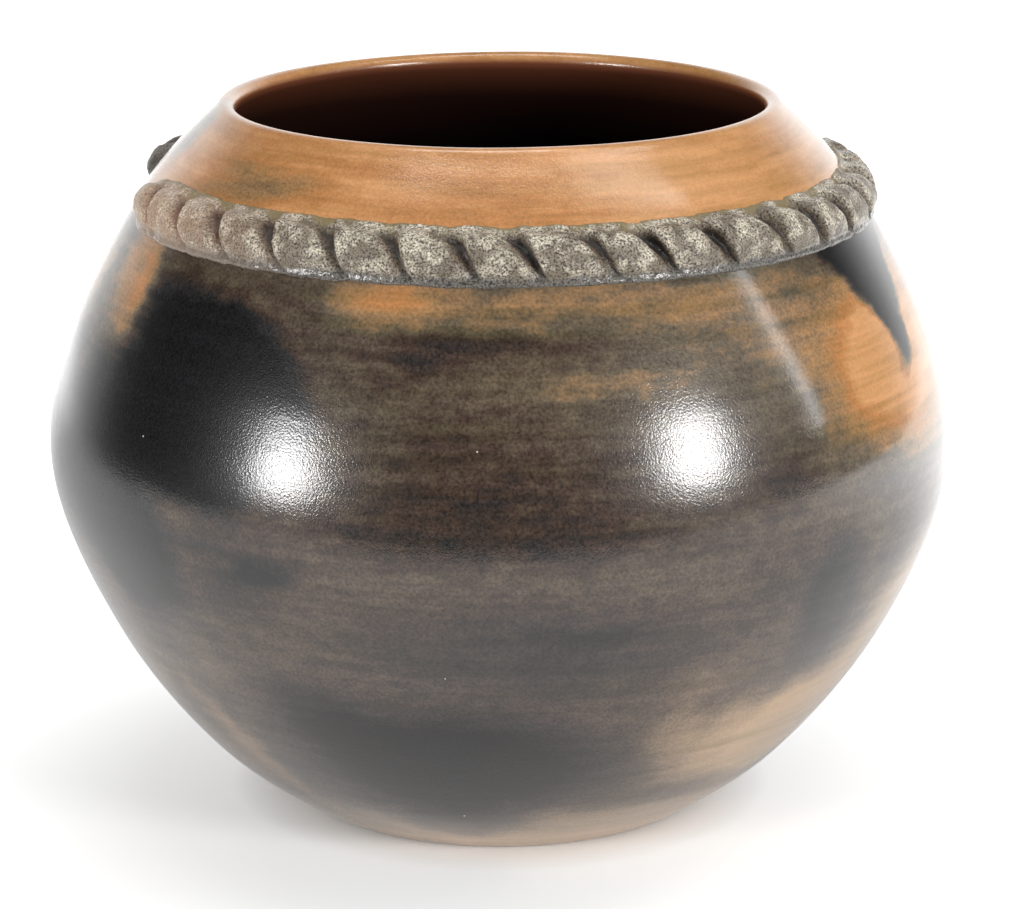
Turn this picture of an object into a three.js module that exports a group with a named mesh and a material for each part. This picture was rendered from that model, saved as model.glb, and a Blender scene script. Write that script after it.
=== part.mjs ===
// A coil-built clay pot with a burnished skin: a flat base, a wall of flattened clay coils
// laid ring on ring, a rounded rim coil, and a roped band laid round the neck.
// Millimetres, +Z up. The origin is the centre of the underside. The front is towards -Y.

import * as THREE from 'three';

// Outer outline, from the foot up to the lip. Each station has its radius to the outer skin
// and its rise above the station below it.
const FOOT_RADIUS = 55;
const HEEL_RADIUS = 78.3;
const HEEL_RISE = 18.4;
const LOWER_WALL_RADIUS = 101.5;
const LOWER_WALL_RISE = 30.9;
const BELLY_RADIUS = 117;
const BELLY_RISE = 39.6;
const SHOULDER_RADIUS = 111.7;
const SHOULDER_RISE = 35.2;
const NECK_RADIUS = 91.8;
const NECK_RISE = 38;
const LIP_RADIUS = 72.2;
const LIP_RISE = 21.5;

// Clay thicknesses.
const WALL_THICKNESS = 5;
const FLOOR_THICKNESS = 7;

// Lap joint between one coil and the next: the outer half of the upper coil is drawn down
// over the lower one. The laps touch face to face, and their upright sides keep a clearance.
const WALL_COIL_COUNT = 10;
const LAP_HEIGHT = 1.5;
const LAP_CLEARANCE = 0.3;

// Roped band. Angles are in degrees round the pot from the front, positive towards +X.
// Its two ends leave a stretch of bare wall between them.
const BAND_BELOW_LIP = 28;
const BAND_START_ANGLE = -84;
const BAND_END_ANGLE = 254;
const BAND_DIP = 3;
const BAND_DIP_ANGLE = 130;
const BAND_HALF_WIDTH = 6.8;
const BAND_PROUD = 6.2;
const BAND_SEAT_CLEARANCE = 0.3;
const BAND_FLANGE_WIDTH = 1.5;
const BAND_FLANGE_THICKNESS = 1.1;
const BAND_END_ROUNDING = 10;
const LOBE_COUNT = 35;
const GROOVE_DEPTH = 2.6;
const GROOVE_LEAN = 10;

// Fineness of the facets.
const ROUND_STEPS = 48;
const LIP_STEPS = 4;
const OUTLINE_SAMPLES = 400;
const CROWN_STEPS = 6;
const RINGS_PER_LOBE = 6;

// Fired clay colours: pale foot, smoke-darkened belly, tan neck, and the duller roped band.
const FOOT_COLOUR = new THREE.Color('#8c6a50');
const BELLY_COLOUR = new THREE.Color('#43352c');
const NECK_COLOUR = new THREE.Color('#c08b58');
const BAND_COLOUR = new THREE.Color('#7d735c');
const BURNISHED_ROUGHNESS = 0.3;
const BAND_ROUGHNESS = 0.7;

// The outline as one smooth curve of (radius, height) points.
const outline = new THREE.SplineCurve(stackStations([
  [FOOT_RADIUS, 0],
  [HEEL_RADIUS, HEEL_RISE],
  [LOWER_WALL_RADIUS, LOWER_WALL_RISE],
  [BELLY_RADIUS, BELLY_RISE],
  [SHOULDER_RADIUS, SHOULDER_RISE],
  [NECK_RADIUS, NECK_RISE],
  [LIP_RADIUS, LIP_RISE],
]));
outline.arcLengthDivisions = OUTLINE_SAMPLES;
const outlineLength = outline.getLength();
const outerSkin = sampleSkin(0);
const innerSkin = sampleSkin(-WALL_THICKNESS);

// The outline is shared out in equal lengths of clay: the base's turned-up heel, the wall
// coils and the rim coil.
const pieceCount = WALL_COIL_COUNT + 2;

function stackStations(stations) {
  let height = 0;
  return stations.map(([radius, rise]) => {
    height += rise;
    return new THREE.Vector2(radius, height);
  });
}

// Point that lies off the outer skin by `off` (outwards is positive), at the share `along`
// of the outline's length.
function skinPoint(along, off) {
  const tangent = outline.getTangentAt(along);
  const outward = new THREE.Vector2(tangent.y, -tangent.x);
  return outline.getPointAt(along).addScaledVector(outward, off);
}

function sampleSkin(off) {
  const points = [];
  for (let i = 0; i <= OUTLINE_SAMPLES; i += 1) {
    points.push(skinPoint(i / OUTLINE_SAMPLES, off));
  }
  return points;
}

// Radius of a sampled skin at a height, straight between its samples.
function radiusAt(skin, height) {
  const above = skin.findIndex((point) => point.y >= height);
  if (above === 0) return skin[0].x;
  if (above < 0) return skin[skin.length - 1].x;
  const low = skin[above - 1];
  const high = skin[above];
  const share = (height - low.y) / (high.y - low.y);
  return THREE.MathUtils.lerp(low.x, high.x, share);
}

// Joint number `index`, counted up from the one between the base and the first wall coil.
function jointAt(index) {
  const height = outline.getPointAt(index / pieceCount).y;
  const lapHeight = height - LAP_HEIGHT;
  const inner = radiusAt(innerSkin, height);
  return {
    height,
    lapHeight,
    inner,
    middle: (inner + radiusAt(outerSkin, height)) / 2,
    outer: radiusAt(outerSkin, lapHeight),
  };
}

// Under side of the piece above a joint, from the inside outwards.
function lapUnderside(joint) {
  return [
    new THREE.Vector2(joint.inner, joint.height),
    new THREE.Vector2(joint.middle, joint.height),
    new THREE.Vector2(joint.middle, joint.lapHeight),
    new THREE.Vector2(joint.outer, joint.lapHeight),
  ];
}

// Top side of the piece below a joint, from the outside inwards.
function lapTopside(joint) {
  const tongue = joint.middle - LAP_CLEARANCE;
  return [
    new THREE.Vector2(joint.outer, joint.lapHeight),
    new THREE.Vector2(tongue, joint.lapHeight),
    new THREE.Vector2(tongue, joint.height),
    new THREE.Vector2(joint.inner, joint.height),
  ];
}

// Outer skin half way up piece number `index`, counted from the base.
function skinMiddle(index) {
  return skinPoint((index + 0.5) / pieceCount, 0);
}

// Turns an outline of (radius, height) points round the pot's upright axis.
function turned(points) {
  return new THREE.LatheGeometry(points, ROUND_STEPS).rotateX(Math.PI / 2);
}

function baseGeometry() {
  const joint = jointAt(1);
  return turned([
    new THREE.Vector2(0, 0),
    new THREE.Vector2(FOOT_RADIUS, 0),
    skinMiddle(0),
    ...lapTopside(joint),
    new THREE.Vector2(radiusAt(innerSkin, FLOOR_THICKNESS), FLOOR_THICKNESS),
    new THREE.Vector2(0, FLOOR_THICKNESS),
  ]);
}

function wallCoilGeometry(index) {
  const below = jointAt(index);
  const above = jointAt(index + 1);
  const points = [...lapUnderside(below), skinMiddle(index), ...lapTopside(above)];
  return turned([...points, points[0]]);
}

// The rim coil ends in a lip that is rounded over from the outer to the inner skin.
function rimCoilGeometry() {
  const below = jointAt(pieceCount - 1);
  const lip = [];
  const radius = WALL_THICKNESS / 2;
  const centre = skinPoint(1, -radius);
  const upward = outline.getTangentAt(1);
  const outward = new THREE.Vector2(upward.y, -upward.x);
  for (let i = 0; i <= LIP_STEPS; i += 1) {
    const turn = (Math.PI * i) / LIP_STEPS;
    const point = centre.clone().addScaledVector(outward, radius * Math.cos(turn));
    lip.push(point.addScaledVector(upward, radius * Math.sin(turn)));
  }
  const points = [...lapUnderside(below), skinMiddle(pieceCount - 1), ...lip];
  return turned([...points, points[0]]);
}

// Share of the outline's length at which the band's middle line lies. The band dips towards
// its start and climbs to its level over the dip angle.
function bandAlong(angle) {
  const climbed = THREE.MathUtils.smoothstep(angle, BAND_START_ANGLE, BAND_START_ANGLE + BAND_DIP_ANGLE);
  const belowLip = BAND_BELOW_LIP + BAND_DIP * (1 - climbed);
  return 1 - belowLip / outlineLength;
}

// How far the crown stands below its full height at a place along the lobes. Each lobe starts
// with a sharp edge and slopes down into the groove before the next one.
function grooveDepth(lobes) {
  const place = lobes - Math.floor(lobes);
  return GROOVE_DEPTH * place * place;
}

// Cross-section of the band at ring number `ring`: [up the wall, off the wall] pairs, from
// the lower flange over the crown to the upper edge and back along the seat.
function bandSection(ring, ringCount, lobeLength) {
  const lobes = ring / RINGS_PER_LOBE;
  const toEnd = Math.min(ring, ringCount - ring) * (lobeLength / RINGS_PER_LOBE);
  const rounding = Math.min(1, toEnd / BAND_END_ROUNDING);
  const fullness = Math.sqrt(0.16 + 0.84 * rounding * (2 - rounding));
  const flange = BAND_HALF_WIDTH + BAND_FLANGE_WIDTH;
  const section = [[-flange, 0], [-flange, BAND_FLANGE_THICKNESS]];
  for (let i = CROWN_STEPS; i >= 0; i -= 1) {
    const turn = (Math.PI * i) / CROWN_STEPS;
    const lean = (GROOVE_LEAN / lobeLength) * (i / CROWN_STEPS);
    const proud = BAND_PROUD - grooveDepth(lobes - lean) * Math.sin(turn);
    section.push([
      BAND_HALF_WIDTH * Math.cos(turn),
      BAND_FLANGE_THICKNESS + (proud - BAND_FLANGE_THICKNESS) * Math.sin(turn),
    ]);
  }
  section.push([BAND_HALF_WIDTH, 0], [0, 0]);
  return section.map(([up, off]) => [up * fullness, off * fullness + BAND_SEAT_CLEARANCE]);
}

// Point of the band at an angle round the pot, from its place up the wall and off it.
function bandPoint(angle, up, off) {
  const skin = skinPoint(bandAlong(angle) + up / outlineLength, off);
  const turn = THREE.MathUtils.degToRad(angle);
  return [skin.x * Math.sin(turn), -skin.x * Math.cos(turn), skin.y];
}

function bandGeometry() {
  const ringCount = LOBE_COUNT * RINGS_PER_LOBE;
  const sweep = BAND_END_ANGLE - BAND_START_ANGLE;
  const radius = skinPoint(1 - BAND_BELOW_LIP / outlineLength, 0).x;
  const lobeLength = (THREE.MathUtils.degToRad(sweep) * radius) / LOBE_COUNT;
  const positions = [];
  const faces = [];
  let sides = 0;
  for (let ring = 0; ring <= ringCount; ring += 1) {
    const angle = BAND_START_ANGLE + (sweep * ring) / ringCount;
    const section = bandSection(ring, ringCount, lobeLength);
    sides = section.length;
    section.forEach(([up, off]) => positions.push(...bandPoint(angle, up, off)));
  }
  for (let ring = 0; ring < ringCount; ring += 1) {
    for (let side = 0; side < sides; side += 1) {
      const here = ring * sides + side;
      const next = ring * sides + ((side + 1) % sides);
      faces.push(here, here + sides, next);
      faces.push(next, here + sides, next + sides);
    }
  }
  const last = ringCount * sides;
  for (let side = 1; side < sides - 1; side += 1) {
    faces.push(sides - 1, side - 1, side);
    faces.push(last + sides - 1, last + side, last + side - 1);
  }
  const geometry = new THREE.BufferGeometry();
  geometry.setAttribute('position', new THREE.Float32BufferAttribute(positions, 3));
  geometry.setIndex(faces);
  geometry.computeVertexNormals();
  return geometry;
}

// Clay colour of a piece of wall by its place up the outline: pale, then dark, then tan.
function clayColour(index) {
  const share = index / (pieceCount - 1);
  if (share < 0.5) return FOOT_COLOUR.clone().lerp(BELLY_COLOUR, share / 0.5);
  return BELLY_COLOUR.clone().lerp(NECK_COLOUR, (share - 0.5) / 0.5);
}

function addPiece(parent, name, geometry, color, roughness) {
  const material = new THREE.MeshStandardMaterial({ color, roughness, metalness: 0 });
  const mesh = new THREE.Mesh(geometry, material);
  mesh.name = name;
  parent.add(mesh);
}

const pot = new THREE.Group();

const vessel = new THREE.Group();
addPiece(vessel, 'base', baseGeometry(), clayColour(0), BURNISHED_ROUGHNESS);
for (let index = 1; index <= WALL_COIL_COUNT; index += 1) {
  const name = `wall_coil_${String(index).padStart(2, '0')}`;
  addPiece(vessel, name, wallCoilGeometry(index), clayColour(index), BURNISHED_ROUGHNESS);
}
addPiece(vessel, 'rim_coil', rimCoilGeometry(), clayColour(pieceCount - 1), BURNISHED_ROUGHNESS);
pot.add(vessel);

addPiece(pot, 'roped_band', bandGeometry(), BAND_COLOUR, BAND_ROUGHNESS);

export default pot;
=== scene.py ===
import math

import bpy
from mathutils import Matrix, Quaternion, Vector


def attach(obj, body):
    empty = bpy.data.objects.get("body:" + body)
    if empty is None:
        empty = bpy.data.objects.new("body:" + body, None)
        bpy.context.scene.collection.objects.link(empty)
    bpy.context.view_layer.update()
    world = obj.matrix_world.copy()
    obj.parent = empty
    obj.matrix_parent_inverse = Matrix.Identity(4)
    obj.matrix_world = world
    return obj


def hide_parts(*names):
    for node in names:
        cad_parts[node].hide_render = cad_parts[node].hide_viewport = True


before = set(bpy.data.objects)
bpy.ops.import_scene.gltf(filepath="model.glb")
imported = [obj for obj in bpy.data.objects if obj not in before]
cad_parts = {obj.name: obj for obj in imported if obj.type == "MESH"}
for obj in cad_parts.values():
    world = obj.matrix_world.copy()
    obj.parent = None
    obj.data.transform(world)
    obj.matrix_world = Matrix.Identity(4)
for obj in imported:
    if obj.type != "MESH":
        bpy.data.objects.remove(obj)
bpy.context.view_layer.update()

# The photographer's view: a long lens about a metre in front of the pot, above its mouth
# and tilted down to it. Belly radii give the place, because the pot is their only scale.
BELLY_RADIUS = 0.1175
CAMERA_BACK = 8.5 * BELLY_RADIUS
CAMERA_HEIGHT = 3.076 * BELLY_RADIUS
CAMERA_TILT = math.radians(15.25)
CAMERA_YAW = math.radians(0.175)
CAMERA_LENS = 138.3
SENSOR_WIDTH = 36

camera_data = bpy.data.cameras.new("camera")
camera_data.sensor_width = SENSOR_WIDTH
camera_data.lens = CAMERA_LENS
camera = bpy.data.objects.new("camera", camera_data)
camera.location = (0, -CAMERA_BACK, CAMERA_HEIGHT)
camera.rotation_euler = (math.pi / 2 - CAMERA_TILT, 0, -CAMERA_YAW)
bpy.context.collection.objects.link(camera)
bpy.context.scene.camera = camera
bpy.context.scene.view_settings.view_transform = "Standard"


# The table: a sheet of matt white board that lies flat under the pot. Its front edge ends
# short of the camera, and the pot's belly mirrors that edge as the line between the dark
# room and the pale board.
TABLE_LEFT = -0.78
TABLE_RIGHT = 1.9
TABLE_FRONT = -0.44
TABLE_BACK = 2.4
TABLE_CORNER = 0.5
CORNER_STEPS = 12
BOARD_COLOUR = "#F7F7F7"
# What the camera sees of the board's glow, which holds a painted shadow of the pot: it grows away
# from the pot, and is least where the belly hangs over the board close to the foot
GLOW_CENTRE = (-0.03, -0.06, 0)
NEAR_POT = 0.03
FAR_FROM_POT = 0.33
NEAR_GLOW = 0.34
FAR_GLOW = 0.91
BELLY_SHADE_FROM = 0.053
BELLY_SHADE_TO = 0.072
UNDER_BELLY = 0.2
# What the pot's gloss mirrors of it: it grows towards the back and the right
MIRRORED_SIDE = (0.55, 1.0, 0)
MIRRORED_FROM = 0.11
MIRRORED_FULL = 0.50
MIRRORED_NEAR = 0.14
MIRRORED_FAR = 1.25


def colour(code):
    """Linear colour, with full alpha, of an sRGB hex code."""
    parts = [int(code[i:i + 2], 16) / 255 for i in (1, 3, 5)]
    return [c / 12.92 if c <= 0.04045 else ((c + 0.055) / 1.055) ** 2.4 for c in parts] + [1]


def add_node(tree, kind, inputs=(), items=(), points=(), stops=(), **settings):
    """Adds a node. Its inputs are a dict by their names, or a tuple in the order of those
    that its settings leave in use, so that a map range takes a value, the range that it
    comes from and the range that it goes to. Each is a value, a socket, or a node whose
    first output in use is meant. A capture takes its items, each a kind and a name, a float
    curve its points, and a colour ramp its stops, each a place and a hex code."""
    node = tree.nodes.new(kind)
    for name, value in settings.items():
        setattr(node, name, value)
    for item in items:
        node.capture_items.new(*item)
    if isinstance(inputs, dict):
        sockets = [node.inputs[name] for name in inputs]
        inputs = inputs.values()
    else:
        sockets = [socket for socket in node.inputs if socket.enabled]
    for socket, value in zip(sockets, inputs):
        if isinstance(value, bpy.types.Node):
            value = next(output for output in value.outputs if output.enabled)
        if isinstance(value, bpy.types.NodeSocket):
            tree.links.new(value, socket)
        else:
            socket.default_value = value
    if points:
        curve = node.mapping.curves[0]
        for place, level in points[1:-1]:
            curve.points.new(place, level)
        curve.points[0].location = points[0]
        curve.points[-1].location = points[-1]
    if stops:
        elements = node.color_ramp.elements
        for place, code in stops[1:-1]:
            elements.new(place)
        for element, (place, code) in zip(elements, stops):
            element.position = place
            element.color = colour(code)
    return node


def table_outline():
    points = [(TABLE_LEFT, TABLE_BACK)]
    left = TABLE_LEFT + TABLE_CORNER
    right = TABLE_RIGHT - TABLE_CORNER
    for side, first in ((left, math.pi), (right, 1.5 * math.pi)):
        for step in range(CORNER_STEPS + 1):
            turn = first + step * math.pi / 2 / CORNER_STEPS
            y = TABLE_FRONT + TABLE_CORNER + TABLE_CORNER * math.sin(turn)
            points.append((side + TABLE_CORNER * math.cos(turn), y))
    return points + [(TABLE_RIGHT, TABLE_BACK)]


outline = table_outline()
table_mesh = bpy.data.meshes.new("table_board")
table_mesh.from_pydata([(x, y, 0) for x, y in outline], [], [list(range(len(outline)))])
table = bpy.data.objects.new("table_board", table_mesh)
bpy.context.collection.objects.link(table)

# White board, pressed and uncoated: evenly pale and without gloss. Part of its brightness is
# a glow, in place of the many lamps of a studio that light it from all sides.
board = bpy.data.materials.new("matt_white_board")
board.use_nodes = True
tree = board.node_tree
tree.nodes.clear()
matt = add_node(tree, "ShaderNodeBsdfDiffuse", {"Color": colour(BOARD_COLOUR)})
where = add_node(tree, "ShaderNodeTexCoord").outputs["Object"]
seen = add_node(tree, "ShaderNodeLightPath").outputs
# The painted shadow of the pot: the glow is dimmer near the pot and least under the belly
away = add_node(tree, "ShaderNodeVectorMath", (where, GLOW_CENTRE), operation="DISTANCE")
spread = add_node(tree, "ShaderNodeMapRange", (away, NEAR_POT, FAR_FROM_POT, NEAR_GLOW, FAR_GLOW))
from_axis = add_node(tree, "ShaderNodeVectorMath", (where,), operation="LENGTH")
shade = add_node(tree, "ShaderNodeMapRange", (
    from_axis, BELLY_SHADE_FROM, BELLY_SHADE_TO, UNDER_BELLY, 1.0))
direct = add_node(tree, "ShaderNodeMath", (shade, spread), operation="MULTIPLY")
direct = add_node(tree, "ShaderNodeMath", (seen["Is Camera Ray"], direct), operation="MULTIPLY")
sideways = add_node(tree, "ShaderNodeVectorMath", (where, MIRRORED_SIDE), operation="DOT_PRODUCT")
level = add_node(tree, "ShaderNodeMapRange", (
    sideways, MIRRORED_FROM, MIRRORED_FULL, MIRRORED_NEAR, MIRRORED_FAR),
    interpolation_type="SMOOTHSTEP")
mirrored = add_node(tree, "ShaderNodeMath", (
    seen["Is Glossy Ray"], level, direct), operation="MULTIPLY_ADD")
glow = add_node(tree, "ShaderNodeEmission", {"Color": (1, 1, 1, 1), "Strength": mirrored})
both = add_node(tree, "ShaderNodeAddShader", (matt, glow))
add_node(tree, "ShaderNodeOutputMaterial", {"Surface": both})
table_mesh.materials.append(board)


# The studio: a white backdrop behind the pot, a dark room in front of it, a round soft box on
# each side of the camera, a slim upright lamp at the right and two panels overhead. Only the
# backdrop is seen, and the rest shows in the pot's gloss.
FILL_LEVEL = 0.33
SEEN_LEVEL = 1.0
ROOM_GLOSS = 0.01
# The backdrop's brightness in the gloss, from its left side to its right, and how far a
# mirrored ray has to turn towards the back and down before it meets it
BACKDROP_LEFT = 1.05
BACKDROP_RIGHT = 1.5
BACKDROP_SIDE = 0.6
BACKDROP_WAY = (-0.02, 1, -0.27)
BACKDROP_FROM = 0.38
BACKDROP_FULL = 0.93
# Metres, degrees of roll about the aim, and watts per steradian and square metre
LAMPS = {
    "soft_box_left": {
        "shape": "ELLIPSE", "place": (-1.012, -0.776, 0.324), "aim": (0, 0, 0.11),
        "size": (0.34, 0.34), "roll": 0, "radiance": 24},
    "soft_box_right": {
        "shape": "ELLIPSE", "place": (0.933, -0.849, 0.436), "aim": (0, 0, 0.11),
        "size": (0.36, 0.36), "roll": 0, "radiance": 26},
    "low_slit": {
        "shape": "RECTANGLE", "place": (0.847, -0.122, 0.55), "aim": (0, 0, 0.55),
        "size": (0.06, 0.60), "roll": 3.4, "radiance": 5.0},
    "side_panel": {
        "shape": "RECTANGLE", "place": (0.735, -0.085, 1.5), "aim": (0.735, -0.085, 0),
        "size": (0.70, 0.09), "roll": 19, "radiance": 8.0},
    "overhead_panel": {
        "shape": "RECTANGLE", "place": (-0.11, 0.01, 1.5), "aim": (-0.11, 0.01, 0),
        "size": (0.78, 0.32), "roll": 0, "radiance": 5.0},
}

world = bpy.data.worlds.new("studio")
world.use_nodes = True
bpy.context.scene.world = world
tree = world.node_tree
tree.nodes.clear()
way = add_node(tree, "ShaderNodeTexCoord").outputs["Generated"]
behind = add_node(tree, "ShaderNodeVectorMath", (way, BACKDROP_WAY), operation="DOT_PRODUCT")
sideways = add_node(tree, "ShaderNodeSeparateXYZ", (way,)).outputs["X"]
backdrop = add_node(tree, "ShaderNodeMapRange", (
    sideways, -BACKDROP_SIDE, BACKDROP_SIDE, BACKDROP_LEFT, BACKDROP_RIGHT))
behind = add_node(tree, "ShaderNodeMapRange", (
    behind, BACKDROP_FROM, BACKDROP_FULL, ROOM_GLOSS, backdrop), interpolation_type="SMOOTHSTEP")
seen = add_node(tree, "ShaderNodeLightPath").outputs
gloss = add_node(tree, "ShaderNodeMix", (seen["Is Glossy Ray"], FILL_LEVEL, behind))
level = add_node(tree, "ShaderNodeMix", (seen["Is Camera Ray"], gloss, SEEN_LEVEL))
sky = add_node(tree, "ShaderNodeBackground", {"Color": (1, 1, 1, 1), "Strength": level})
add_node(tree, "ShaderNodeOutputWorld", {"Surface": sky})

for name, lamp in LAMPS.items():
    light = bpy.data.lights.new(name, "AREA")
    light.shape = lamp["shape"]
    light.size, light.size_y = lamp["size"]
    filled = math.pi / 4 if light.shape == "ELLIPSE" else 1
    light.energy = lamp["radiance"] * math.pi * light.size * light.size_y * filled
    lamp_object = bpy.data.objects.new(name, light)
    lamp_object.location = lamp["place"]
    aim = Vector(lamp["aim"]) - lamp_object.location
    roll = Quaternion((0, 0, 1), math.radians(lamp["roll"]))
    lamp_object.rotation_euler = (aim.to_track_quat("-Z", "Y") @ roll).to_euler()
    bpy.context.collection.objects.link(lamp_object)


# The vessel: one continuous wall of fired earthenware. Its flat base, wall coils and rim
# coil were pinched together and scraped smooth, so no joint shows, and the skin was
# burnished with a stone and given a thin coat of pinyon pitch while hot.

# Each station of the outline is a radius and its rise above the station before it
STATIONS = (
    (0.0550, 0.0),
    (0.0783, 0.0184),
    (0.1015, 0.0309),
    (0.1170, 0.0396),
    (0.1117, 0.0352),
    (0.0918, 0.0380),
    (0.0722, 0.0215),
)
WALL = 0.005
FLOOR = 0.007
FOOT_EDGE = 0.0016
STATION_STEPS = 30
FOOT_STEPS = 4
LIP_STEPS = 14
FLOOR_STEPS = 12
ROUND_STEPS = 248
WELD = 1e-6
# The hand's unevenness: how far the wall wanders over what distance, from which height off
# the table, and how the lip leans to one side
WOBBLE = 0.00035
WOBBLE_SIZE = 0.07
WOBBLE_FULL = 0.02
LIP_TILT = math.radians(0.24)
LIP_TILT_FROM = 0.13
LIP_TILT_FULL = 0.18
# Points of the section, past the top of the lip, in which the outside turns to the inside
INSIDE_BLEND = 3.0
VESSEL_NODES = ["base", *(f"wall_coil_{i:02d}" for i in range(1, 11)), "rim_coil"]


def smooth_line(points, steps):
    """A smooth curve through the points, as so many steps between each two of them."""
    padded = [points[0], *points, points[-1]]
    curve = []
    for before, start, end, after in zip(padded, padded[1:], padded[2:], padded[3:]):
        lead = (end - before) / 2
        trail = (after - start) / 2
        for step in range(steps):
            t = step / steps
            curve.append((2 * t**3 - 3 * t**2 + 1) * start + (t**3 - 2 * t**2 + t) * lead
                         + (3 * t**2 - 2 * t**3) * end + (t**3 - t**2) * trail)
    return curve + [points[-1]]


def wall_outline():
    """Outer outline, foot to lip, as points of radius and height."""
    points = []
    height = 0
    for radius, rise in STATIONS:
        height += rise
        points.append(Vector((radius, height)))
    return smooth_line(points, STATION_STEPS)


def vessel_section(outer):
    """Half section of the wall, from the middle of the underside round to the floor's
    middle, and the number of its point at the top of the lip."""
    normals = []
    for i in range(len(outer)):
        along = (outer[min(i + 1, len(outer) - 1)] - outer[max(i - 1, 0)]).normalized()
        normals.append(Vector((along.y, -along.x)))
    inner = [p - n * WALL for p, n in zip(outer, normals)]
    inner = [p for p in inner if p.y > FLOOR]
    foot = Vector((outer[0].x, 0))
    skin = [p for p in outer if (p - foot).length > FOOT_EDGE]
    flat = foot - Vector((FOOT_EDGE, 0))
    edge = []
    for step in range(FOOT_STEPS + 1):
        t = step / FOOT_STEPS
        edge.append((1 - t)**2 * flat + 2 * t * (1 - t) * foot + t**2 * skin[0])
    centre = outer[-1] - normals[-1] * WALL / 2
    up = Vector((-normals[-1].y, normals[-1].x))
    lip = []
    for step in range(1, LIP_STEPS):
        turn = math.pi * step / LIP_STEPS
        lip.append(centre + (normals[-1] * math.cos(turn) + up * math.sin(turn)) * WALL / 2)
    underside = [foot * step / FLOOR_STEPS for step in range(FLOOR_STEPS)]
    underside = [p for p in underside if p.x < foot.x - 2 * FOOT_EDGE]
    rim = Vector((inner[0].x, FLOOR))
    floor = [rim * (1 - step / FLOOR_STEPS) + Vector((0, FLOOR)) * step / FLOOR_STEPS
             for step in range(1, FLOOR_STEPS + 1)]
    before_lip = underside + edge + skin[1:]
    return before_lip + lip + inner[::-1] + floor, len(before_lip) + LIP_STEPS // 2


def curve_object(name, points, closed=False):
    """A curve through points of radius and height, which lie in the XZ plane."""
    data = bpy.data.curves.new(name, "CURVE")
    data.dimensions = "3D"
    spline = data.splines.new("POLY")
    spline.points.add(len(points) - 1)
    for target, point in zip(spline.points, points):
        target.co = (point.x, 0, point.y, 1)
    spline.use_cyclic_u = closed
    made = bpy.data.objects.new(name, data)
    bpy.context.collection.objects.link(made)
    return made


def add_inputs(tree, sizes):
    """Names a geometry tree's inputs. Returns the sockets that give their values."""
    kinds = {int: "NodeSocketInt", float: "NodeSocketFloat"}
    tree.interface.new_socket("Geometry", in_out="INPUT", socket_type="NodeSocketGeometry")
    for name, value in sizes.items():
        kind = kinds.get(type(value), "NodeSocketMaterial")
        tree.interface.new_socket(name, in_out="INPUT", socket_type=kind)
    tree.interface.new_socket("Geometry", in_out="OUTPUT", socket_type="NodeSocketGeometry")
    return add_node(tree, "NodeGroupInput").outputs


def grow(source, tree, sizes, name):
    """Runs a geometry tree on an object and returns the result as a plain mesh object."""
    modifier = source.modifiers.new(tree.name, "NODES")
    modifier.node_group = tree
    for item in tree.interface.items_tree:
        if item.in_out == "INPUT" and item.name in sizes:
            modifier[item.identifier] = sizes[item.name]
    graph = bpy.context.evaluated_depsgraph_get()
    mesh = bpy.data.meshes.new_from_object(
        source.evaluated_get(graph), preserve_all_data_layers=True, depsgraph=graph)
    source.modifiers.remove(modifier)
    bpy.data.objects.remove(source)
    mesh.name = name
    made = bpy.data.objects.new(name, mesh)
    bpy.context.collection.objects.link(made)
    return made


burnished = bpy.data.materials.new("pitch_coated_burnished_clay")
burnished.use_nodes = True

outer_wall = wall_outline()
half_section, lip_top = vessel_section(outer_wall)
vessel_sizes = {
    "Steps Round": ROUND_STEPS, "Lip Top": float(lip_top), "Inside Blend": INSIDE_BLEND,
    "Wobble": WOBBLE, "Wobble Size": WOBBLE_SIZE, "Lip Tilt": LIP_TILT, "Material": burnished,
}
turned = bpy.data.node_groups.new("turned_vessel", "GeometryNodeTree")
given = add_inputs(turned, vessel_sizes)

# The half section is swept along a circle, then each point goes to its own place in the
# section, spun round the axis by its share of the circle
place = add_node(turned, "GeometryNodeInputPosition")
number = add_node(turned, "GeometryNodeInputIndex")
section = add_node(turned, "GeometryNodeCaptureAttribute", {
    "Geometry": given["Geometry"], "Section": place, "Number": number},
    items=(("VECTOR", "Section"), ("FLOAT", "Number"))).outputs
ring = add_node(turned, "GeometryNodeCurvePrimitiveCircle", {"Resolution": given["Steps Round"]})
share = add_node(turned, "GeometryNodeSplineParameter").outputs["Factor"]
ring = add_node(turned, "GeometryNodeCaptureAttribute", {
    "Geometry": ring, "Round": share}, items=(("FLOAT", "Round"),)).outputs
swept = add_node(turned, "GeometryNodeCurveToMesh", {
    "Curve": ring["Geometry"], "Profile Curve": section["Geometry"]})
turn = add_node(turned, "ShaderNodeMath", (ring["Round"], 2 * math.pi), operation="MULTIPLY")
spun = add_node(turned, "ShaderNodeVectorRotate", {
    "Vector": section["Section"], "Angle": turn}, rotation_type="Z_AXIS")
placed = add_node(turned, "GeometryNodeSetPosition", {"Geometry": swept, "Position": spun})
welded = add_node(turned, "GeometryNodeMergeByDistance", {"Geometry": placed, "Distance": WELD})

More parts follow.
